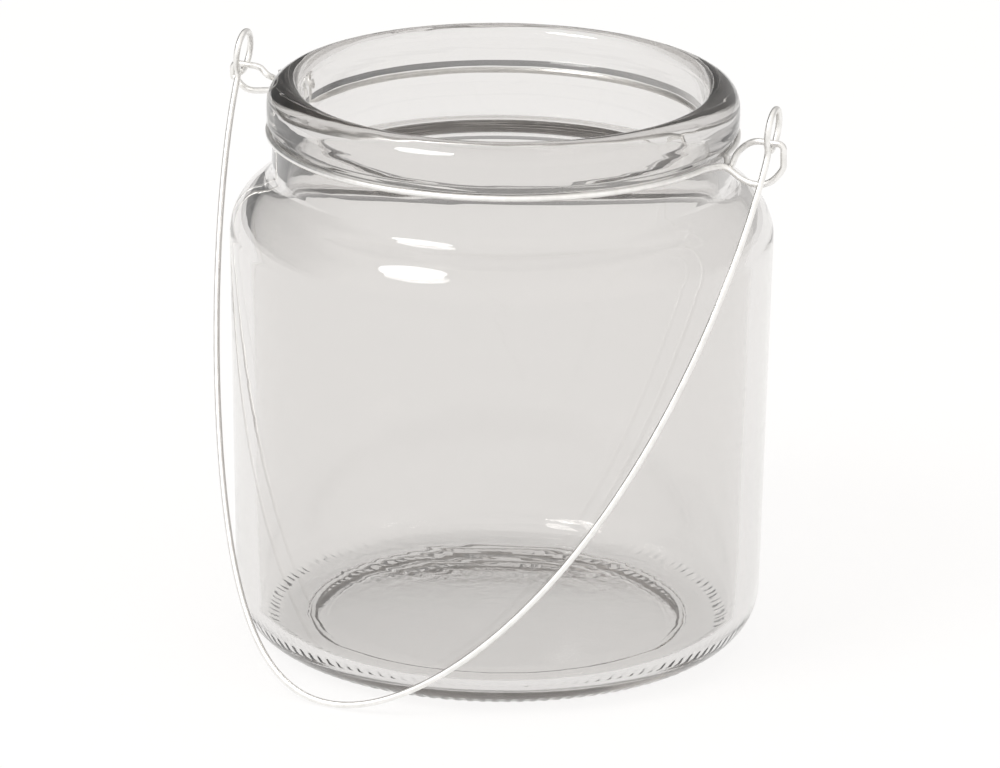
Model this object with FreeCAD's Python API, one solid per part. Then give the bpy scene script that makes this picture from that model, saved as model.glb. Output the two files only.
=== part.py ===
import FreeCAD, Part
import math
import os

# Mason jar lantern: a small rounded glass jar, a wire bent round its neck with
# an eye on each side, and a wire bail hooked into the two eyes.
# Millimetres. Base centre at the origin, +Z up, +X through the right-hand eye.
# The bail leans towards -Y.

V = FreeCAD.Vector

# ---------------------------------------------------------------- jar, outside
# The neck, lip and mouth are stepped in from the body, and the rim's heights
# are measured down from the top, so a larger jar keeps the same rim.
jar_height = 79.0
body_radius_top = 37.4
body_taper = 0.85
body_radius_low = body_radius_top - body_taper
heel_radius = 7.2
shoulder_radius = 7.8
shoulder_drop = 21.5
shoulder_centre_height = jar_height - shoulder_drop
shoulder_sweep_deg = 63.4
neck_fillet = 2.6
neck_step = 5.75
neck_radius = body_radius_top - neck_step

# ---------------------------------------------------------------- jar, rim
lip_overhang = 0.75
lip_radius = neck_radius + lip_overhang
lip_height = 6.35
lip_underside_height = jar_height - lip_height
lip_underside_slope = 0.75
lip_outer_round = 3.0
lip_width = 4.7
mouth_radius = lip_radius - lip_width
mouth_depth = 7.0
mouth_straight_height = jar_height - mouth_depth

# ---------------------------------------------------------------- jar, inside
wall = 3.0
base_thickness = 3.2
base_dome = 0.5
inner_heel_radius = 3.6
bearing_width = 3.85
bearing_inner_radius = body_radius_low - heel_radius - bearing_width
push_up = 1.6

# ---------------------------------------------------------------- wire
wire_d = 0.88
wire_r = wire_d / 2.0
ring_gap = 0.05
strand_gap = 0.06

# Ring round the neck, in the groove under the lip.
ring_radius = neck_radius + ring_gap + wire_r
ring_drop = 0.65
ring_height = lip_underside_height - ring_drop
ring_opening_deg = 8.0

# ---------------------------------------------------------------- eyes
# The upper strand of each eye carries one hook of the bail, clear of the body.
hook_side_gap = 3.0
hook_reach = body_radius_top + hook_side_gap
strand_rise = 3.9
strand_height = ring_height + strand_rise
eye_straight = 0.85
eye_corner = 0.78
eye_reach = hook_reach + eye_straight + eye_corner
right_root_offset = 6.3
right_eye_root = hook_reach - right_root_offset
right_eye_root_height = ring_height - 0.4
right_eye_bottom = ring_height - 2.05
left_root_offset = 5.5
left_eye_root = hook_reach - left_root_offset
left_eye_bottom = ring_height + 0.6
left_stub_height = ring_height + 3.7

# ---------------------------------------------------------------- bail
# A gentle oval: fullness 2 would be a half ellipse, and the skew moves the
# lowest point sideways, as the wire was bent by hand.
hook_radius = 2.86
hook_clearance = 0.16
hook_neck_bend = 1.4
hook_tip_gap = 0.85
hook_turn_deg = 10.0
bail_fullness = 1.55
bail_skew = 5.8
bail_skew_power = 3.5

# The hook turns about its own centre, with the strand at the bottom of its hole.
pivot_height = strand_height + hook_radius - wire_d - hook_clearance

# The bail leans out far enough to clear the body, and is just long enough for
# its lowest point to rest on the table.
bail_foot_ratio = 1.0928
bail_foot = body_radius_low * bail_foot_ratio
bail_lean_deg = math.degrees(math.atan2(bail_foot, pivot_height))
bail_rest_gap = 0.02


def deg(angle):
    return math.radians(angle)


def arc_point(cx, cz, radius, angle):
    return V(cx + radius * math.cos(deg(angle)), 0, cz + radius * math.sin(deg(angle)))


def arc(cx, cz, radius, first, last):
    middle = 0.5 * (first + last)
    a = arc_point(cx, cz, radius, first)
    b = arc_point(cx, cz, radius, middle)
    c = arc_point(cx, cz, radius, last)
    return Part.Arc(a, b, c).toShape()


def line(a, b):
    return Part.LineSegment(a, b).toShape()


def dome(edge_x, edge_z, rise):
    # Shallow spherical cap about the axis, from its rim to its middle.
    radius = (edge_x ** 2 + rise ** 2) / (2.0 * rise)
    centre_z = edge_z + rise - radius
    half_x = 0.5 * edge_x
    half_z = centre_z + math.sqrt(radius ** 2 - half_x ** 2)
    a = V(edge_x, 0, edge_z)
    b = V(half_x, 0, half_z)
    c = V(0, 0, edge_z + rise)
    return Part.Arc(a, b, c).toShape()


def round_wire(edge):
    # One length of wire: a circle of the wire's size swept along an edge.
    start = edge.valueAt(edge.FirstParameter)
    along = edge.tangentAt(edge.FirstParameter)
    section = Part.Wire([Part.makeCircle(wire_r, start, along)])
    return Part.Wire([edge]).makePipeShell([section], True, True)


def curve(points, first_dir, last_dir):
    spline = Part.BSplineCurve()
    spline.interpolate(Points=points, InitialTangent=first_dir, FinalTangent=last_dir)
    return spline.toShape()


def make_jar():
    # Outside, from the bearing ring up to the lip.
    heel_x = body_radius_low - heel_radius
    shoulder_x = body_radius_top - shoulder_radius
    shoulder_z = shoulder_centre_height
    sweep = shoulder_sweep_deg
    shoulder_end = arc_point(shoulder_x, shoulder_z, shoulder_radius, sweep)
    fillet_x = neck_radius + neck_fillet
    fillet_z = shoulder_end.z + neck_fillet * math.sin(deg(sweep))
    # The fillet centre follows from the neck radius, so its start angle does too.
    fillet_angle = math.degrees(math.atan2(shoulder_z - fillet_z, shoulder_x - fillet_x))
    join = arc_point(shoulder_x, shoulder_z, shoulder_radius, fillet_angle + 180.0)
    span = math.hypot(fillet_x - shoulder_x, fillet_z - shoulder_z)
    fillet_r = span - shoulder_radius
    neck_x = fillet_x - fillet_r

    bearing_in = V(bearing_inner_radius, 0, 0)
    heel_start = V(heel_x, 0, 0)
    heel_end = V(body_radius_low, 0, heel_radius)
    body_end = V(body_radius_top, 0, shoulder_z)
    outer_start = fillet_angle + 180.0
    neck_start = V(neck_x, 0, fillet_z)
    lip_low = V(neck_x, 0, lip_underside_height)
    lip_out = V(lip_radius, 0, lip_underside_height + lip_underside_slope)
    lip_side = V(lip_radius, 0, jar_height - lip_outer_round)
    lip_top_x = lip_radius - lip_outer_round
    lip_inner_round = lip_top_x - mouth_radius

    # Inside, parallel to the outside at the wall thickness.
    in_shoulder_r = shoulder_radius - wall
    in_fillet_r = fillet_r + wall
    in_body_top = V(shoulder_x + in_shoulder_r, 0, shoulder_z)
    in_heel_x = body_radius_low - wall - inner_heel_radius
    in_heel_z = base_thickness + inner_heel_radius
    in_neck = V(fillet_x - in_fillet_r, 0, fillet_z)
    mouth_edge = V(mouth_radius, 0, jar_height - lip_inner_round)
    mouth_low = V(mouth_radius, 0, mouth_straight_height)
    floor_mid = V(0, 0, base_thickness + base_dome)
    push_mid = V(0, 0, push_up)

    edges = [
        dome(bearing_inner_radius, 0.0, push_up),
        line(bearing_in, heel_start),
        arc(heel_x, heel_radius, heel_radius, -90.0, 0.0),
        line(heel_end, body_end),
        arc(shoulder_x, shoulder_z, shoulder_radius, 0.0, outer_start),
        arc(fillet_x, fillet_z, fillet_r, outer_start + 180.0, 180.0),
        line(neck_start, lip_low),
        line(lip_low, lip_out),
        line(lip_out, lip_side),
        arc(lip_top_x, lip_side.z, lip_outer_round, 0.0, 90.0),
        arc(lip_top_x, mouth_edge.z, lip_inner_round, 90.0, 180.0),
        line(mouth_edge, mouth_low),
        line(mouth_low, in_neck),
        arc(fillet_x, fillet_z, in_fillet_r, 180.0, outer_start + 180.0),
        arc(shoulder_x, shoulder_z, in_shoulder_r, outer_start, 0.0),
        line(in_body_top, V(in_heel_x + inner_heel_radius, 0, in_heel_z)),
        arc(in_heel_x, in_heel_z, inner_heel_radius, 0.0, -90.0),
        dome(in_heel_x, base_thickness, base_dome),
        line(floor_mid, push_mid),
    ]
    outline = Part.Wire(Part.__sortEdges__(edges))
    return Part.Face(outline).revolve(V(0, 0, 0), V(0, 0, 1), 360)


def ring_point(angle):
    x = ring_radius * math.cos(deg(angle))
    y = ring_radius * math.sin(deg(angle))
    return V(x, y, ring_height)


def ring_heading(angle):
    # Direction of travel with the angle increasing.
    return V(-math.sin(deg(angle)), math.cos(deg(angle)), 0)


def half_ring(first, last):
    a = ring_point(first)
    b = ring_point(0.5 * (first + last))
    c = ring_point(last)
    return round_wire(Part.Arc(a, b, c).toShape())


def hook_seat(side):
    # The straight length under a hook, and the tight corner at the eye's end.
    top = strand_height
    inner = side * (hook_reach - eye_straight)
    outer = side * (hook_reach + eye_straight)
    end = side * eye_reach
    knee = eye_corner * (1.0 - math.sqrt(0.5))
    flat = Part.LineSegment(V(outer, 0, top), V(inner, 0, top)).toShape()
    low = V(end, 0, top - eye_corner)
    mid = V(end - side * knee, 0, top - knee)
    bend = Part.Arc(low, mid, V(outer, 0, top)).toShape()
    return round_wire(bend), round_wire(flat)


def right_eye():
    # One open turn. The strand comes from the front half of the ring, runs out
    # along the bottom, back along the top and crosses behind itself at the root.
    side = 0.5 * (wire_d + strand_gap)
    root = right_eye_root
    root_z = right_eye_root_height
    low = right_eye_bottom
    top = strand_height
    middle_z = 0.5 * (low + top)
    centre = 0.5 * (root + eye_reach)
    lower = [
        ring_point(-ring_opening_deg),
        V(ring_radius + 0.55, -2.2, ring_height),
        V(root - 0.75, -side - 0.35, root_z + 0.25),
        V(root, -side, root_z - 0.05),
        V(root + 1.5, -side, low + 0.75),
        V(centre, -side, low),
        V(eye_reach - 1.5, -0.6 * side, low + 0.75),
        V(eye_reach - 0.15, -0.2 * side, middle_z - 0.6),
        V(eye_reach, 0, top - eye_corner),
    ]
    upper = [
        V(hook_reach - eye_straight, 0, top),
        V(centre - 0.6, 0.3 * side, top - 0.25),
        V(root + 1.7, 0.7 * side, middle_z + 1.6),
        V(root + 0.55, side, middle_z),
        V(root - 0.05, side, root_z),
        V(root - 0.8, side + 0.65, root_z - 0.1),
        V(ring_radius + 0.5, 2.5, ring_height - 0.05),
        ring_point(ring_opening_deg),
    ]
    first = ring_heading(-ring_opening_deg)
    last = ring_heading(ring_opening_deg)
    pieces = [round_wire(curve(lower, first, V(0, 0, 1)))]
    pieces.append(round_wire(curve(upper, V(-1, 0, 0), last)))
    pieces.extend(hook_seat(1.0))
    return pieces


def left_eye():
    # The strand from the front half of the ring makes the eye, then hooks round
    # the upright stub at the end of the back half.
    pitch = wire_d + strand_gap
    root = left_eye_root
    low = left_eye_bottom
    top = strand_height
    stub_x = root - 0.3
    stub_y = 0.35
    twist_z = top - 1.45
    front = 180.0 + ring_opening_deg
    back = 180.0 - ring_opening_deg
    lower = [
        ring_point(front),
        V(-ring_radius - 0.55, -2.4, ring_height),
        V(-root + 1.0, -1.1, ring_height + 0.35),
        V(-root - 0.3, -0.75, low + 0.2),
        V(-root - 2.6, -0.45, low),
        V(-eye_reach + 1.4, -0.15, low + 0.35),
        V(-eye_reach + 0.2, 0, low + 1.3),
        V(-eye_reach, 0, top - eye_corner),
    ]
    upper = [
        V(-hook_reach + eye_straight, 0, top),
        V(-root - 2.6, -0.15, top - 0.2),
        V(-root - 1.2, -0.45, top - 1.0),
    ]
    for turn in (-75.0, -30.0, 15.0, 60.0, 105.0, 150.0):
        x = -stub_x + pitch * math.sin(deg(turn))
        y = stub_y - pitch * math.cos(deg(turn))
        upper.append(V(x, y, twist_z - 0.1 * (turn + 75.0) / 45.0))
    last = V(math.cos(deg(150.0)), math.sin(deg(150.0)), 0)
    stub = [
        ring_point(back),
        V(-ring_radius - 0.5, 3.0, ring_height - 0.02),
        V(-root + 1.2, 1.45, ring_height + 0.1),
        V(-stub_x - 0.02, stub_y + 0.12, ring_height + 1.1),
        V(-stub_x, stub_y, ring_height + 2.2),
        V(-stub_x, stub_y, left_stub_height),
    ]
    pieces = [round_wire(curve(lower, ring_heading(front) * -1.0, V(0, 0, 1)))]
    pieces.append(round_wire(curve(upper, V(1, 0, 0), last)))
    pieces.append(round_wire(curve(stub, ring_heading(back), V(0, 0, 1))))
    pieces.extend(hook_seat(-1.0))
    return pieces


def make_neck_wire():
    front_half = half_ring(180.0 + ring_opening_deg, 360.0 - ring_opening_deg)
    back_half = half_ring(ring_opening_deg, 180.0 - ring_opening_deg)
    pieces = [back_half] + right_eye() + left_eye()
    return front_half.multiFuse(pieces).removeSplitter()


def make_bail():
    lean = deg(bail_lean_deg)
    turn = deg(hook_turn_deg)
    across = V(1, 0, 0)
    down = V(0, -math.sin(lean), -math.cos(lean))
    ahead = V(0, -math.cos(lean), math.sin(lean))
    # Each hook lies in a plane turned a little about its own shaft.
    flat = ahead * math.cos(turn) + across * math.sin(turn)
    pivot = V(0, 0, pivot_height)

    # The shaft points at the hook's centre and swings into it through a small
    # reverse bend; the hook then goes nearly full circle, back to the shaft.
    bend = hook_neck_bend
    neck_drop = math.sqrt((hook_radius + bend) ** 2 - bend ** 2)
    join_angle = -math.degrees(math.atan2(neck_drop, bend))
    opening = (wire_d + hook_tip_gap) / hook_radius
    tip_angle = join_angle + 360.0 - math.degrees(opening)

    # Depth at which the lowest point of the wire meets the table.
    bail_depth = (pivot_height - wire_r - bail_rest_gap) / math.cos(lean)
    leg_depth = bail_depth - neck_drop
    points = []
    steps = 16
    for i in range(steps + 1):
        t = math.pi * i / steps
        part_way = math.sin(t) ** (2.0 / bail_fullness) if 0 < i < steps else 0.0
        x = hook_reach * math.cos(t) - bail_skew * part_way ** bail_skew_power
        depth = neck_drop + leg_depth * part_way
        points.append(pivot + across * x + down * depth)
    pieces = [round_wire(curve(points, down, down * -1.0))]

    for side in (1.0, -1.0):
        centre = pivot + across * (side * hook_reach)
        stops = []
        for angle in (join_angle, 0.5 * (join_angle + tip_angle), tip_angle):
            a = flat * (hook_radius * math.cos(deg(angle)))
            b = down * (-hook_radius * math.sin(deg(angle)))
            stops.append(centre + a + b)
        pieces.append(round_wire(Part.Arc(stops[0], stops[1], stops[2]).toShape()))
        bend_centre = centre + flat * bend + down * neck_drop
        foot = centre + down * neck_drop
        halfway = (foot - bend_centre).normalize() + (stops[0] - bend_centre).normalize()
        knee = bend_centre + halfway.normalize() * bend
        pieces.append(round_wire(Part.Arc(foot, knee, stops[0]).toShape()))
    return pieces[0].multiFuse(pieces[1:]).removeSplitter()


os.makedirs("parts", exist_ok=True)
make_jar().exportStep("parts/glass_jar.step")
make_neck_wire().exportStep("parts/neck_wire.step")
make_bail().exportStep("parts/bail_handle.step")
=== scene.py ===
import math

import bmesh
import bpy
from mathutils import Matrix, Vector


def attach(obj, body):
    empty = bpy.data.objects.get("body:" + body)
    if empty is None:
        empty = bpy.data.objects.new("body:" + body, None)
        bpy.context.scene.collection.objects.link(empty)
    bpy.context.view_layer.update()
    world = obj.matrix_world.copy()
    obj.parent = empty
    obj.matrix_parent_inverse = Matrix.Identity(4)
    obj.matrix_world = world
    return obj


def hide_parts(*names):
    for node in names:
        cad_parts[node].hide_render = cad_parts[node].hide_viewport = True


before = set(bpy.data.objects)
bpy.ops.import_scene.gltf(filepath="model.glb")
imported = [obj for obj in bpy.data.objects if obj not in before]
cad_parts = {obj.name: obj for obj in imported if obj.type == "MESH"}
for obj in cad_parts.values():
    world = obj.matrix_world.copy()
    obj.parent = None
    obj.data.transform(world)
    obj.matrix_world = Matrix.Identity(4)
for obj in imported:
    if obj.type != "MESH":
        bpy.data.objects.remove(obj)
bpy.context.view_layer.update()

MM = 0.001


# ------------------------------------------------------------------ helpers
def linear(hex_colour):
    """sRGB hex to the linear RGBA that shaders expect."""
    channels = [int(hex_colour[i:i + 2], 16) / 255 for i in (1, 3, 5)]
    return tuple(c / 12.92 if c <= 0.04045 else ((c + 0.055) / 1.055) ** 2.4
                 for c in channels) + (1.0,)


def add_node(tree, kind, settings=None, inputs=None, links=None):
    """Adds one node: settings are its properties, inputs its socket values,
    links its incoming links as {input: (node, output)}."""
    node = tree.nodes.new(kind)
    for key, value in (settings or {}).items():
        setattr(node, key, value)
    for key, value in (inputs or {}).items():
        node.inputs[key].default_value = value
    for key, (source, output) in (links or {}).items():
        tree.links.new(source.outputs[output], node.inputs[key])
    return node


def new_material(name):
    material = bpy.data.materials.new(name)
    material.use_nodes = True
    material.node_tree.nodes.clear()
    return material


def arc(cx, cz, radius, first, last, count):
    """Profile points round an arc, angles in degrees, both ends included."""
    step = (last - first) / (count - 1)
    return [(cx + radius * math.cos(math.radians(first + step * i)),
             cz + radius * math.sin(math.radians(first + step * i)))
            for i in range(count)]


def run(a, b, count):
    """Profile points strictly between a and b."""
    return [(a[0] + (b[0] - a[0]) * i / (count + 1),
             a[1] + (b[1] - a[1]) * i / (count + 1)) for i in range(1, count + 1)]


# ------------------------------------------------------------------ sizes, mm
JAR_HEIGHT = 79.0
BODY_TOP, BODY_LOW = 37.4, 36.55
HEEL = 7.2
SHOULDER, SHOULDER_Z, SHOULDER_SWEEP = 7.8, 57.5, 63.4
NECK, NECK_FILLET = 31.65, 2.6
LIP, LIP_ROUND, LIP_UNDER, LIP_SLOPE = 32.4, 3.0, 72.65, 0.75
MOUTH, MOUTH_STRAIGHT = 27.7, 72.0
WALL = 3.0
FLOOR_Z, FLOOR_DOME = 3.2, 0.5
INNER_HEEL = 3.6
BEARING, PUSH_UP, PUSH_STEP = 25.5, 1.6, 0.30

RIBS = 118                 # fine moulded ribs round the heel
RIB_DEPTH = 0.15
RIB_INNER, RIB_OUTER = 31.0, 34.0
RIB_TOP = 3.2
RIB_FADE = 0.7             # how far each rib's ends take to run out
SEGMENTS_PER_RIB = 6

WIRE = 0.88
END_DOME, END_TAPER = 0.10, 0.75
HOOK_REACH, HOOK, HOOK_BEND = 40.4, 2.86, 1.4
HOOK_TURN = 10.0           # degrees
HOOK_TIP_GAP = 0.85
HOOK_STEPS, BEND_STEPS, LEG_STEPS = 60, 10, 320
PIVOT_Z = 77.72
BAIL_FOOT_RATIO = 1.0928
BAIL_LEAN = math.atan2(BODY_LOW * BAIL_FOOT_RATIO, PIVOT_Z)
BAIL_REST_GAP = 0.02
BAIL_FULLNESS, BAIL_SKEW, BAIL_SKEW_POWER = 1.55, 5.8, 3.5
LEG_CROWDING = 0.42        # gathers points where the legs curve most


# ------------------------------------------------------------------ materials
def pressed_glass():
    """Soda-lime container glass, pressed and fire-polished: clear with a faint
    warm grey in its thickness, and a skin that is slightly wavy, never flat."""
    material = new_material("pressed_soda_lime_glass")
    tree = material.node_tree
    place = add_node(tree, "ShaderNodeTexCoord")
    # Slow waves, a few centimetres long, left as it cooled in the mould.
    slow = add_node(tree, "ShaderNodeTexNoise",
                    inputs={"Scale": 40.0, "Detail": 1.0, "Roughness": 0.4},
                    links={"Vector": (place, "Object")})
    slow_bump = add_node(tree, "ShaderNodeBump", inputs={"Strength": 0.2, "Distance": 0.0005},
                         links={"Height": (slow, "Fac")})
    # Rings a few millimetres apart, drawn out as it turned in the fire-polisher.
    axes = add_node(tree, "ShaderNodeSeparateXYZ", links={"Vector": (place, "Object")})
    flat = add_node(tree, "ShaderNodeCombineXYZ", links={"X": (axes, "X"), "Y": (axes, "Y")})
    radius = add_node(tree, "ShaderNodeVectorMath", {"operation": "LENGTH"},
                      links={0: (flat, "Vector")})
    section = add_node(tree, "ShaderNodeCombineXYZ", links={"X": (radius, "Value"),
                                                            "Y": (axes, "Z")})
    ring_way = add_node(tree, "ShaderNodeVectorMath", {"operation": "MULTIPLY_ADD"},
                        {1: (0.10, 0.10, 0.10)},
                        {0: (place, "Object"), 2: (section, "Vector")})
    bands = add_node(tree, "ShaderNodeTexNoise",
                     inputs={"Scale": 420.0, "Detail": 2.0, "Roughness": 0.55},
                     links={"Vector": (ring_way, "Vector")})
    rim = add_node(tree, "ShaderNodeMapRange", {"interpolation_type": "SMOOTHSTEP"},
                   {"From Min": 0.0715, "From Max": 0.0735, "To Min": 0.16, "To Max": 0.9},
                   {"Value": (axes, "Z")})
    band_bump = add_node(tree, "ShaderNodeBump", inputs={"Distance": 0.00010},
                         links={"Height": (bands, "Fac"), "Strength": (rim, "Result"),
                                "Normal": (slow_bump, "Normal")})
    # Chilled, slightly pebbled skin on the heel and floor, gone by 10 mm up.
    low_part = add_node(tree, "ShaderNodeMapRange", {"interpolation_type": "SMOOTHSTEP"},
                        {"From Min": 0.0045, "From Max": 0.010, "To Min": 1.0, "To Max": 0.0},
                        {"Value": (axes, "Z")})
    pebble = add_node(tree, "ShaderNodeTexNoise",
                      inputs={"Scale": 700.0, "Detail": 2.0, "Roughness": 0.6},
                      links={"Vector": (place, "Object")})
    pebble_bump = add_node(tree, "ShaderNodeBump", inputs={"Distance": 0.000010},
                           links={"Height": (pebble, "Fac"), "Strength": (low_part, "Result"),
                                  "Normal": (band_bump, "Normal")})
    glass = add_node(tree, "ShaderNodeBsdfPrincipled",
                     inputs={"Base Color": linear("#F1F0EF"), "Roughness": 0.0,
                             "IOR": 1.52, "Transmission Weight": 1.0},
                     links={"Normal": (pebble_bump, "Normal")})
    depth = add_node(tree, "ShaderNodeVolumeAbsorption",
                     inputs={"Color": (0.765, 0.755, 0.745, 1.0), "Density": 52.0})
    add_node(tree, "ShaderNodeOutputMaterial",
             links={"Surface": (glass, "BSDF"), "Volume": (depth, "Volume")})
    return material


def galvanised_wire():
    """Bright galvanised mild-steel wire: a smooth zinc skin with a little
    unevenness from the bath."""
    material = new_material("bright_galvanised_wire")
    tree = material.node_tree
    place = add_node(tree, "ShaderNodeTexCoord")
    skin = add_node(tree, "ShaderNodeTexNoise",
                    inputs={"Scale": 900.0, "Detail": 3.0, "Roughness": 0.55},
                    links={"Vector": (place, "Object")})
    tone = add_node(tree, "ShaderNodeValToRGB", links={"Fac": (skin, "Fac")})
    tone.color_ramp.elements[0].position = 0.30
    tone.color_ramp.elements[0].color = linear("#E9E8E5")
    tone.color_ramp.elements[1].position = 0.70
    tone.color_ramp.elements[1].color = linear("#F6F5F3")
    polish = add_node(tree, "ShaderNodeMapRange",
                      inputs={"From Min": 0.3, "From Max": 0.7, "To Min": 0.34, "To Max": 0.42},
                      links={"Value": (skin, "Fac")})
    grain = add_node(tree, "ShaderNodeBump",
                     inputs={"Strength": 0.05, "Distance": 0.00002},
                     links={"Height": (skin, "Fac")})
    metal = add_node(tree, "ShaderNodeBsdfPrincipled",
                     inputs={"Metallic": 1.0},
                     links={"Base Color": (tone, "Color"), "Roughness": (polish, "Result"),
                            "Normal": (grain, "Normal")})
    add_node(tree, "ShaderNodeOutputMaterial", links={"Surface": (metal, "BSDF")})
    return material


def light_table():
    """Pale, faintly glowing table top, so that the glass is lit from below too."""
    material = new_material("pale_table")
    tree = material.node_tree
    top = add_node(tree, "ShaderNodeBsdfPrincipled",
                   inputs={"Base Color": (0.12, 0.12, 0.12, 1.0), "Roughness": 0.9,
                           "Specular IOR Level": 0.0,
                           "Emission Color": linear("#FFFEFD"), "Emission Strength": 0.88})
    add_node(tree, "ShaderNodeOutputMaterial", links={"Surface": (top, "BSDF")})
    return material


glass_material = pressed_glass()
wire_material = galvanised_wire()


# ------------------------------------------------------------------ glass jar
def jar_profile():
    """The jar's section, from the middle of its underside round to the middle of its floor."""
    heel_x = BODY_LOW - HEEL
    shoulder_x = BODY_TOP - SHOULDER
    shoulder_end_z = SHOULDER_Z + SHOULDER * math.sin(math.radians(SHOULDER_SWEEP))
    fillet_x = NECK + NECK_FILLET
    fillet_z = shoulder_end_z + NECK_FILLET * math.sin(math.radians(SHOULDER_SWEEP))
    sweep = math.degrees(math.atan2(fillet_z - SHOULDER_Z, fillet_x - shoulder_x))
    fillet = math.hypot(fillet_x - shoulder_x, fillet_z - SHOULDER_Z) - SHOULDER
    neck_x = fillet_x - fillet
    lip_top_x = LIP - LIP_ROUND
    lip_in = lip_top_x - MOUTH
    in_heel_x = BODY_LOW - WALL - INNER_HEEL
    in_heel_z = FLOOR_Z + INNER_HEEL

    def cap(edge, z, rise, count, outward):
        radius = (edge ** 2 + rise ** 2) / (2 * rise)
        centre = z + rise - radius
        steps = range(count) if outward else range(count, 0, -1)
        points = []
        for i in steps:
            r = edge * i / count
            points.append((r, centre + math.sqrt(radius ** 2 - r ** 2)))
        return points

    # The push-up ends in a small crisp step just inside the bearing ring.
    profile = cap(BEARING - PUSH_STEP, PUSH_STEP, PUSH_UP - PUSH_STEP, 8, True)
    profile += [(BEARING - PUSH_STEP - 0.06, PUSH_STEP + 0.005),
                (BEARING - PUSH_STEP + 0.05, PUSH_STEP - 0.05)]
    profile += [(BEARING - 0.05, 0.05), (BEARING + 0.08, 0.0)]
    # A shallow groove beside it, left by the edge of the mould's bottom plate.
    profile += [(BEARING + 0.45, 0.0), (BEARING + 0.62, 0.05), (BEARING + 0.80, 0.14),
                (BEARING + 0.98, 0.05), (BEARING + 1.15, 0.0)]
    profile += run((BEARING + 1.15, 0.0), (heel_x, 0.0), 2)
    profile += arc(heel_x, HEEL, HEEL, -90, -45, 20)
    profile += arc(heel_x, HEEL, HEEL, -40, 0, 7)
    profile += run((BODY_LOW, HEEL), (BODY_TOP, SHOULDER_Z), 5)
    profile += arc(shoulder_x, SHOULDER_Z, SHOULDER, 0, sweep, 10)
    profile += arc(fillet_x, fillet_z, fillet, sweep + 180, 180, 7)[1:]
    profile += [(neck_x, LIP_UNDER - 0.25), (neck_x + 0.10, LIP_UNDER + 0.05)]
    profile += [(LIP - 0.10, LIP_UNDER + LIP_SLOPE - 0.05), (LIP, LIP_UNDER + LIP_SLOPE + 0.25)]
    profile += run((LIP, LIP_UNDER + LIP_SLOPE), (LIP, JAR_HEIGHT - LIP_ROUND), 1)
    profile += arc(lip_top_x, JAR_HEIGHT - LIP_ROUND, LIP_ROUND, 0, 90, 8)
    profile += arc(lip_top_x, JAR_HEIGHT - lip_in, lip_in, 90, 180, 7)[1:]
    profile += run((MOUTH, JAR_HEIGHT - lip_in), (MOUTH, MOUTH_STRAIGHT), 1)
    profile += [(MOUTH, MOUTH_STRAIGHT + 0.4), (MOUTH + 0.06, MOUTH_STRAIGHT - 0.4)]
    profile += arc(fillet_x, fillet_z, fillet + WALL, 180, sweep + 180, 6)
    profile += arc(shoulder_x, SHOULDER_Z, SHOULDER - WALL, sweep, 0, 8)[1:]
    profile += run((shoulder_x + SHOULDER - WALL, SHOULDER_Z),
                   (in_heel_x + INNER_HEEL, in_heel_z), 5)
    profile += arc(in_heel_x, in_heel_z, INNER_HEEL, 0, -90, 10)
    profile += cap(in_heel_x, FLOOR_Z, FLOOR_DOME, 6, False)[1:]
    profile.append((0.0, FLOOR_Z + FLOOR_DOME))
    return profile


def turned_mesh(name, profile, segments):
    """A closed solid of revolution about Z whose section starts and ends on the axis."""
    mesh = bmesh.new()
    rings = []
    for r, z in profile:
        if r < 1e-6:
            rings.append([mesh.verts.new((0, 0, z * MM))])
            continue
        rings.append([mesh.verts.new((r * MM * math.cos(2 * math.pi * j / segments),
                                      r * MM * math.sin(2 * math.pi * j / segments),
                                      z * MM)) for j in range(segments)])
    for low, high in zip(rings, rings[1:]):
        for j in range(segments):
            k = (j + 1) % segments
            if len(low) == 1:
                mesh.faces.new((low[0], high[k], high[j]))
            elif len(high) == 1:
                mesh.faces.new((low[j], low[k], high[0]))
            else:
                mesh.faces.new((low[j], low[k], high[k], high[j]))
    data = bpy.data.meshes.new(name)
    mesh.to_mesh(data)
    mesh.free()
    data.shade_smooth()
    piece = bpy.data.objects.new(name, data)
    bpy.context.scene.collection.objects.link(piece)
    return piece


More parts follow.
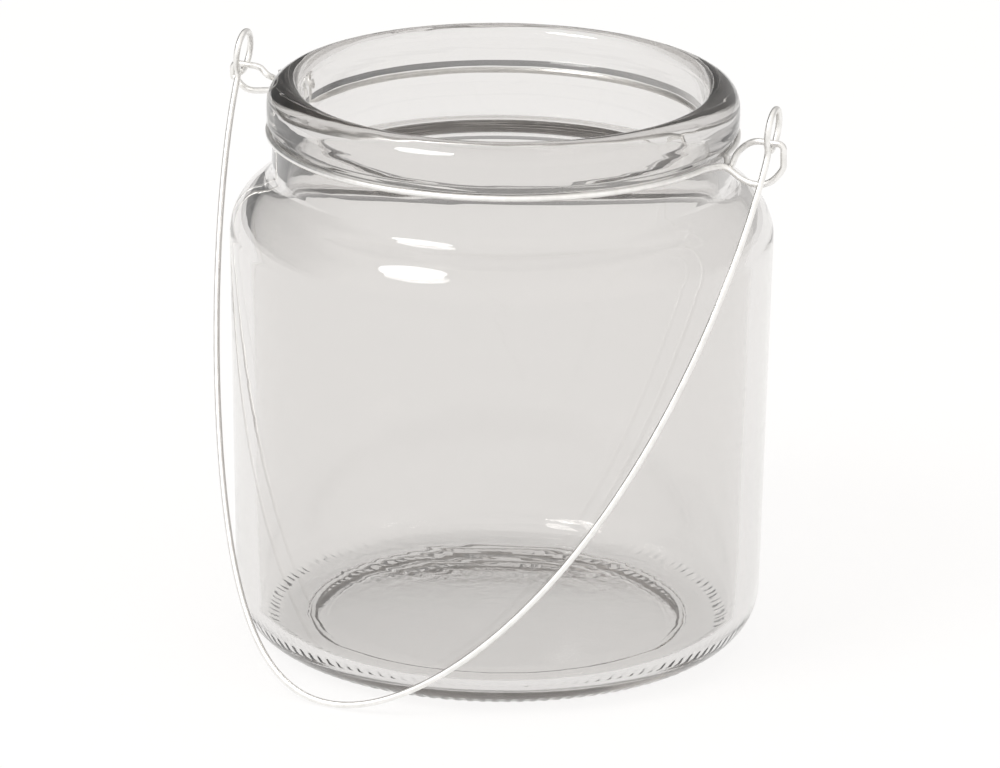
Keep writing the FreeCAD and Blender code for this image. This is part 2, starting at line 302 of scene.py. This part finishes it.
def rib_tree():
    """Presses a ring of short radial grooves into the heel, leaving ribs between them."""
    tree = bpy.data.node_groups.new("heel_ribs", "GeometryNodeTree")
    face = tree.interface
    face.new_socket("Geometry", in_out="INPUT", socket_type="NodeSocketGeometry")
    for name in ("Rib count", "Rib depth", "Inner radius", "Outer radius", "Top height"):
        face.new_socket(name, in_out="INPUT", socket_type="NodeSocketFloat")
    face.new_socket("Glass", in_out="INPUT", socket_type="NodeSocketMaterial")
    face.new_socket("Geometry", in_out="OUTPUT", socket_type="NodeSocketGeometry")

    sizes = add_node(tree, "NodeGroupInput")
    at = add_node(tree, "GeometryNodeInputPosition")
    axes = add_node(tree, "ShaderNodeSeparateXYZ", links={"Vector": (at, "Position")})
    angle = add_node(tree, "ShaderNodeMath", {"operation": "ARCTAN2"},
                     links={0: (axes, "Y"), 1: (axes, "X")})
    phase = add_node(tree, "ShaderNodeMath", {"operation": "MULTIPLY"},
                     links={0: (angle, "Value"), 1: (sizes, "Rib count")})
    wave = add_node(tree, "ShaderNodeMath", {"operation": "COSINE"}, links={0: (phase, "Value")})
    groove = add_node(tree, "ShaderNodeMapRange", {"interpolation_type": "SMOOTHSTEP"},
                      {"From Min": 0.5, "From Max": -0.7, "To Min": 0.0, "To Max": -1.0},
                      {"Value": (wave, "Value")})
    flat = add_node(tree, "ShaderNodeCombineXYZ", links={"X": (axes, "X"), "Y": (axes, "Y")})
    radius = add_node(tree, "ShaderNodeVectorMath", {"operation": "LENGTH"},
                      links={0: (flat, "Vector")})
    rise = add_node(tree, "ShaderNodeMath", {"operation": "ADD"}, {1: RIB_FADE * MM},
                    {0: (sizes, "Inner radius")})
    fall = add_node(tree, "ShaderNodeMath", {"operation": "SUBTRACT"}, {1: RIB_FADE * MM},
                    {0: (sizes, "Outer radius")})
    inner = add_node(tree, "ShaderNodeMapRange", {"interpolation_type": "SMOOTHSTEP"},
                     links={"Value": (radius, "Value"), "From Min": (sizes, "Inner radius"),
                            "From Max": (rise, "Value")})
    outer = add_node(tree, "ShaderNodeMapRange", {"interpolation_type": "SMOOTHSTEP"},
                     {"To Min": 1.0, "To Max": 0.0},
                     {"Value": (radius, "Value"), "From Min": (fall, "Value"),
                      "From Max": (sizes, "Outer radius")})
    under = add_node(tree, "ShaderNodeMath", {"operation": "LESS_THAN"},
                     links={0: (axes, "Z"), 1: (sizes, "Top height")})
    band = add_node(tree, "ShaderNodeMath", {"operation": "MULTIPLY"},
                    links={0: (inner, "Result"), 1: (outer, "Result")})
    band = add_node(tree, "ShaderNodeMath", {"operation": "MULTIPLY"},
                    links={0: (band, "Value"), 1: (under, "Value")})
    # Some ribs came out of the mould fuller than others.
    uneven = add_node(tree, "ShaderNodeTexNoise", inputs={"Scale": 420.0, "Detail": 1.0},
                      links={"Vector": (at, "Position")})
    fullness = add_node(tree, "ShaderNodeMapRange", inputs={"From Min": 0.3, "From Max": 0.7,
                                                            "To Min": 0.35, "To Max": 1.0},
                        links={"Value": (uneven, "Fac")})
    amount = add_node(tree, "ShaderNodeMath", {"operation": "MULTIPLY"},
                      links={0: (groove, "Result"), 1: (sizes, "Rib depth")})
    amount = add_node(tree, "ShaderNodeMath", {"operation": "MULTIPLY"},
                      links={0: (amount, "Value"), 1: (fullness, "Result")})
    amount = add_node(tree, "ShaderNodeMath", {"operation": "MULTIPLY"},
                      links={0: (amount, "Value"), 1: (band, "Value")})
    facing = add_node(tree, "GeometryNodeInputNormal")
    offset = add_node(tree, "ShaderNodeVectorMath", {"operation": "SCALE"},
                      links={0: (facing, "Normal"), "Scale": (amount, "Value")})
    pressed = add_node(tree, "GeometryNodeSetPosition",
                       links={"Geometry": (sizes, "Geometry"), "Offset": (offset, "Vector")})
    real = add_node(tree, "GeometryNodeRealizeInstances", links={"Geometry": (pressed, "Geometry")})
    glazed = add_node(tree, "GeometryNodeSetMaterial",
                      links={"Geometry": (real, "Geometry"), "Material": (sizes, "Glass")})
    add_node(tree, "NodeGroupOutput", links={"Geometry": (glazed, "Geometry")})
    return tree


def apply_tree(piece, tree, values):
    """Runs a Geometry Nodes tree on a piece and keeps the result as its plain mesh."""
    modifier = piece.modifiers.new(tree.name, "NODES")
    modifier.node_group = tree
    for item in tree.interface.items_tree:
        if item.in_out == "INPUT" and item.name in values:
            modifier[item.identifier] = values[item.name]
    bpy.context.view_layer.update()
    evaluated = piece.evaluated_get(bpy.context.evaluated_depsgraph_get())
    data = bpy.data.meshes.new_from_object(evaluated)
    piece.modifiers.clear()
    piece.data = data
    data.name = piece.name


jar = turned_mesh("pressed_jar", jar_profile(), RIBS * SEGMENTS_PER_RIB)
apply_tree(jar, rib_tree(), {"Rib count": float(RIBS), "Rib depth": RIB_DEPTH * MM,
                             "Inner radius": RIB_INNER * MM, "Outer radius": RIB_OUTER * MM,
                             "Top height": RIB_TOP * MM, "Glass": glass_material})
jar.data.shade_smooth()
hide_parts("glass_jar")
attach(jar, "jar")


# ------------------------------------------------------------------ wires
def smooth_copy(node, name, body):
    """The wire's own solid with its facets merged and shaded round."""
    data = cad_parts[node].data.copy()
    data.name = name
    mesh = bmesh.new()
    mesh.from_mesh(data)
    bmesh.ops.remove_doubles(mesh, verts=mesh.verts, dist=1e-6)
    mesh.to_mesh(data)
    mesh.free()
    data.materials.clear()
    data.materials.append(wire_material)
    data.shade_smooth()
    data.set_sharp_from_angle(angle=math.radians(50))
    piece = bpy.data.objects.new(name, data)
    bpy.context.scene.collection.objects.link(piece)
    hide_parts(node)
    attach(piece, body)


smooth_copy("neck_wire", "bent_neck_wire", "jar")


def wire_tube(name, path, thickness, sides=20):
    """Round wire drawn along a smooth path, with its cut ends closed and slightly worn."""
    radius = thickness / 2
    mesh = bmesh.new()
    heading = (path[1] - path[0]).normalized()
    across = heading.orthogonal().normalized()
    rings = []

    def ring(centre, size, heading, across):
        other = heading.cross(across)
        rings.append([mesh.verts.new((centre + (across * math.cos(2 * math.pi * k / sides)
                                                + other * math.sin(2 * math.pi * k / sides))
                                      * size) * MM) for k in range(sides)])

    ring(path[0] - heading * END_DOME, radius * END_TAPER, heading, across)
    for i, point in enumerate(path):
        ahead = (path[min(i + 1, len(path) - 1)] - path[max(i - 1, 0)]).normalized()
        across = (heading.rotation_difference(ahead) @ across)
        across = (across - ahead * across.dot(ahead)).normalized()
        heading = ahead
        ring(point, radius, heading, across)
    ring(path[-1] + heading * END_DOME, radius * END_TAPER, heading, across)
    for low, high in zip(rings, rings[1:]):
        for k in range(sides):
            n = (k + 1) % sides
            mesh.faces.new((low[k], low[n], high[n], high[k]))
    mesh.faces.new(list(reversed(rings[0])))
    mesh.faces.new(rings[-1])
    data = bpy.data.meshes.new(name)
    mesh.to_mesh(data)
    mesh.free()
    data.materials.append(wire_material)
    data.shade_smooth()
    data.set_sharp_from_angle(angle=math.radians(40))
    piece = bpy.data.objects.new(name, data)
    bpy.context.scene.collection.objects.link(piece)
    return piece


def bail_path():
    """The bail's middle line: round one hook, down one leg, across the foot and up again."""
    x_way = Vector((1, 0, 0))
    down = Vector((0, -math.sin(BAIL_LEAN), -math.cos(BAIL_LEAN)))
    ahead = Vector((0, -math.cos(BAIL_LEAN), math.sin(BAIL_LEAN)))
    turn = math.radians(HOOK_TURN)
    flat = ahead * math.cos(turn) + x_way * math.sin(turn)
    pivot = Vector((0, 0, PIVOT_Z))
    neck_drop = math.sqrt((HOOK + HOOK_BEND) ** 2 - HOOK_BEND ** 2)
    join = -math.atan2(neck_drop, HOOK_BEND)
    tip = join + 2 * math.pi - (WIRE + HOOK_TIP_GAP) / HOOK

    def hook(side):
        """From the hook's tip round to its shaft."""
        centre = pivot + x_way * (side * HOOK_REACH)
        points = []
        for i in range(HOOK_STEPS + 1):
            a = tip + (join - tip) * i / HOOK_STEPS
            points.append(centre + flat * (HOOK * math.cos(a)) - down * (HOOK * math.sin(a)))
        bend = centre + flat * HOOK_BEND + down * neck_drop
        start = points[-1] - bend
        end = centre + down * neck_drop - bend
        total = start.angle(end)
        axis = start.cross(end).normalized()
        for i in range(1, BEND_STEPS + 1):
            points.append(bend + Matrix.Rotation(total * i / BEND_STEPS, 3, axis) @ start)
        return points

    depth = (PIVOT_Z - WIRE / 2 - BAIL_REST_GAP) / math.cos(BAIL_LEAN)
    legs = []
    for i in range(1, LEG_STEPS):
        t = math.pi * i / LEG_STEPS
        t = t - LEG_CROWDING * math.sin(2 * t)
        part_way = math.sin(t) ** (2 / BAIL_FULLNESS)
        x = HOOK_REACH * math.cos(t) - BAIL_SKEW * part_way ** BAIL_SKEW_POWER
        legs.append(pivot + x_way * x + down * (neck_drop + (depth - neck_drop) * part_way))
    return hook(1) + legs + list(reversed(hook(-1)))


bail = wire_tube("wire_bail", bail_path(), WIRE)
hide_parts("bail_handle")
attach(bail, "bail")


# ------------------------------------------------------------------ studio
CAMERA_AZIMUTH = math.radians(26.2)
inward = Vector((-math.sin(CAMERA_AZIMUTH), math.cos(CAMERA_AZIMUTH), 0.0))


def from_camera(across, ahead, height):
    """A place in the room given from the camera's side: right, away and up, in metres."""
    side = Vector((math.cos(CAMERA_AZIMUTH), math.sin(CAMERA_AZIMUTH), 0.0))
    return side * across + inward * ahead + Vector((0, 0, height))


scene = bpy.context.scene
scene.view_settings.view_transform = "Standard"
scene.view_settings.look = "None"
# Thick curved glass goes falsely black where its light paths are cut short.
BOUNCES = 40
scene.cycles.max_bounces = BOUNCES
scene.cycles.transmission_bounces = BOUNCES
scene.cycles.glossy_bounces = BOUNCES

TABLE_HALF, TABLE_Z = 6.0, -0.0002
table_mesh = bpy.data.meshes.new("table_top")
table_mesh.from_pydata([(x * TABLE_HALF, y * TABLE_HALF, TABLE_Z)
                        for x, y in ((-1, -1), (1, -1), (1, 1), (-1, 1))],
                       [], [(0, 1, 2, 3)])
table_mesh.materials.append(light_table())
table_top = bpy.data.objects.new("table_top", table_mesh)
scene.collection.objects.link(table_top)


def studio_walls():
    """A white ceiling over grey walls, with a dark cloth on the wall behind and to the left,
    which draws the edges of the glass."""
    world = bpy.data.worlds.new("studio")
    world.use_nodes = True
    tree = world.node_tree
    tree.nodes.clear()
    way = add_node(tree, "ShaderNodeTexCoord")
    cloth_way = from_camera(-0.72, 0.69, 0.0)
    towards = add_node(tree, "ShaderNodeVectorMath", {"operation": "DOT_PRODUCT"},
                       {1: cloth_way}, {0: (way, "Generated")})
    cloth = add_node(tree, "ShaderNodeMapRange", {"interpolation_type": "SMOOTHSTEP"},
                     {"From Min": 0.35, "From Max": 0.85}, {"Value": (towards, "Value")})
    wall = add_node(tree, "ShaderNodeMixRGB",
                    inputs={"Color1": (0.62, 0.61, 0.60, 1.0), "Color2": (0.20, 0.20, 0.20, 1.0)},
                    links={"Fac": (cloth, "Result")})
    behind = add_node(tree, "ShaderNodeVectorMath", {"operation": "DOT_PRODUCT"},
                      {1: inward}, {0: (way, "Generated")})
    near_side = add_node(tree, "ShaderNodeMapRange", {"interpolation_type": "SMOOTHSTEP"},
                         {"From Min": 0.25, "From Max": -0.45}, {"Value": (behind, "Value")})
    wall = add_node(tree, "ShaderNodeMixRGB", inputs={"Color2": (1.15, 1.13, 1.11, 1.0)},
                    links={"Fac": (near_side, "Result"), "Color1": (wall, "Color")})
    height = add_node(tree, "ShaderNodeSeparateXYZ", links={"Vector": (way, "Generated")})
    overhead = add_node(tree, "ShaderNodeMapRange", {"interpolation_type": "SMOOTHSTEP"},
                        {"From Min": 0.58, "From Max": 0.85}, {"Value": (height, "Z")})
    room = add_node(tree, "ShaderNodeMixRGB", inputs={"Color2": (1.05, 1.03, 1.01, 1.0)},
                    links={"Fac": (overhead, "Result"), "Color1": (wall, "Color")})
    light = add_node(tree, "ShaderNodeBackground", links={"Color": (room, "Color")})
    add_node(tree, "ShaderNodeOutputWorld", links={"Surface": (light, "Background")})
    return world


scene.world = studio_walls()


def softbox(name, place, target, width, depth, power):
    """An oval soft light aimed at a point."""
    lamp = bpy.data.lights.new(name, "AREA")
    lamp.shape = "ELLIPSE"
    lamp.size, lamp.size_y = width, depth
    lamp.energy = power
    holder = bpy.data.objects.new(name, lamp)
    aim = Vector(target) - Vector(place)
    holder.matrix_world = (Matrix.Translation(place)
                           @ aim.to_track_quat("-Z", "Y").to_matrix().to_4x4())
    scene.collection.objects.link(holder)


JAR_MIDDLE = (0, 0, 0.045)
softbox("overhead_softbox", from_camera(-0.58, -0.50, 0.95), JAR_MIDDLE,
        width=0.50, depth=0.52, power=5.6)


# ------------------------------------------------------------------ camera
CAMERA_REACH, CAMERA_HEIGHT = 0.91787, 0.34190
CAMERA_PITCH, CAMERA_ROLL = 0.3223, 0.0122
CAMERA_LENS = 251.37

camera_data = bpy.data.cameras.new("camera")
camera_data.sensor_width = 36.0
camera_data.lens = CAMERA_LENS
camera_data.clip_start = 0.05
camera_data.clip_end = 20.0
camera = bpy.data.objects.new("camera", camera_data)
scene.collection.objects.link(camera)
forward = inward * math.cos(CAMERA_PITCH) - Vector((0, 0, math.sin(CAMERA_PITCH)))
right = forward.cross(Vector((0, 0, 1))).normalized()
up = right.cross(forward)
right, up = (right * math.cos(CAMERA_ROLL) + up * math.sin(CAMERA_ROLL),
             up * math.cos(CAMERA_ROLL) - right * math.sin(CAMERA_ROLL))
place = inward * -CAMERA_REACH + Vector((0, 0, CAMERA_HEIGHT))
camera.matrix_world = Matrix((
    (right.x, up.x, -forward.x, place.x),
    (right.y, up.y, -forward.y, place.y),
    (right.z, up.z, -forward.z, place.z),
    (0, 0, 0, 1)))
scene.camera = camera
